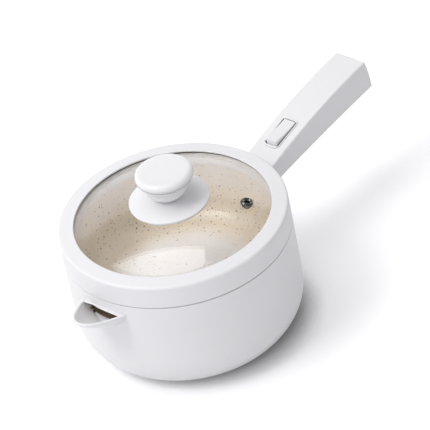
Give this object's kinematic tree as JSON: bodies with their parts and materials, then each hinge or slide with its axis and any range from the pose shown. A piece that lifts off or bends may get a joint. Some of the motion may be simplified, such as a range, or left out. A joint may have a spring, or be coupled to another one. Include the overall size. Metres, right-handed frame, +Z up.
{
  "type": "electric hot pot",
  "caption": "Small electric hot pot: white moulded body with a long handle and rocker switch, a pour lip, a speckled inner pot and a lift-off domed glass lid with a knob.",
  "frame": {"origin": "on the pot's axis, in the plane of the table that the rubber foot ring stands on", "axes": "+Z up, +X along the handle away from the pot, -X towards the pour lip"},
  "size_m": [0.3651, 0.191, 0.1623],
  "materials": {
    "white_body": "fine satin moulded white plastic",
    "white_gloss": "smooth moulded white plastic",
    "white_inner": "plain moulded white plastic, hidden or seen through glass",
    "pot_coating": "speckled beige ceramic-type non-stick coating on aluminium",
    "cast_aluminium": "as cast",
    "bright_steel": "polished",
    "zinc_steel": "zinc plated",
    "brass_pins": "nickel flashed brass",
    "clear_glass": "clear tempered glass",
    "silicone_clear": "translucent silicone",
    "silicone_brown": "dark brown silicone",
    "silicone_black": "black silicone",
    "foot_rubber": "grey anti-slip rubber",
    "black_phenolic": "black heat-proof plastic",
    "white_ceramic": "fired insulator and steel pin",
    "lead_brown": "silicone insulation, brown",
    "lead_blue": "silicone insulation, blue",
    "lead_earth": "silicone insulation, green and yellow"
  },
  "bodies": {
    "base": {"outer_shell": "white_body", "inner_pot": "pot_coating", "spout_gasket": "silicone_brown", "top_collar": "white_inner", "rim_gasket": "silicone_clear", "heater_plate": "cast_aluminium", "heater_terminals": "white_ceramic", "thermostat": "black_phenolic", "thermostat_strap": "zinc_steel", "strap_screws": "zinc_steel", "thermal_fuse": "white_ceramic", "fuse_clip": "zinc_steel", "base_cover": "white_inner", "base_screws": "zinc_steel", "foot_ring": "foot_rubber", "handle_body": "white_body", "handle_cover": "white_body", "handle_cover_screws": "zinc_steel", "handle_bracket": "zinc_steel", "handle_screws": "zinc_steel", "switch_bezel": "white_gloss", "switch_housing": "black_phenolic", "switch_tabs": "brass_pins", "inlet_socket": "black_phenolic", "inlet_pins": "brass_pins", "lead_live": "lead_brown", "lead_switched": "lead_brown", "lead_neutral": "lead_blue", "lead_earth": "lead_earth"},
    "lid": {"lid_frame": "white_body", "lid_retainer": "white_inner", "lid_gasket": "silicone_clear", "lid_glass": "clear_glass", "glass_seal": "silicone_black", "knob_base": "white_gloss", "knob_stem": "white_gloss", "knob_cap": "white_gloss", "knob_washers": "silicone_clear", "knob_screw": "zinc_steel", "vent_grommet": "bright_steel"},
    "rocker": {"rocker_button": "white_gloss"}
  },
  "joints": [
    {"name": "lid_lift", "type": "slide", "parent": "base", "child": "lid", "axis": [0, 0, 1], "range_m": [0, 0.06]},
    {"name": "rocker_tilt", "type": "hinge", "parent": "base", "child": "rocker", "pos_m": [0.13883, 0, 0.10258], "axis": [0, -1, 0], "range_deg": [0, 16]}
  ]
}
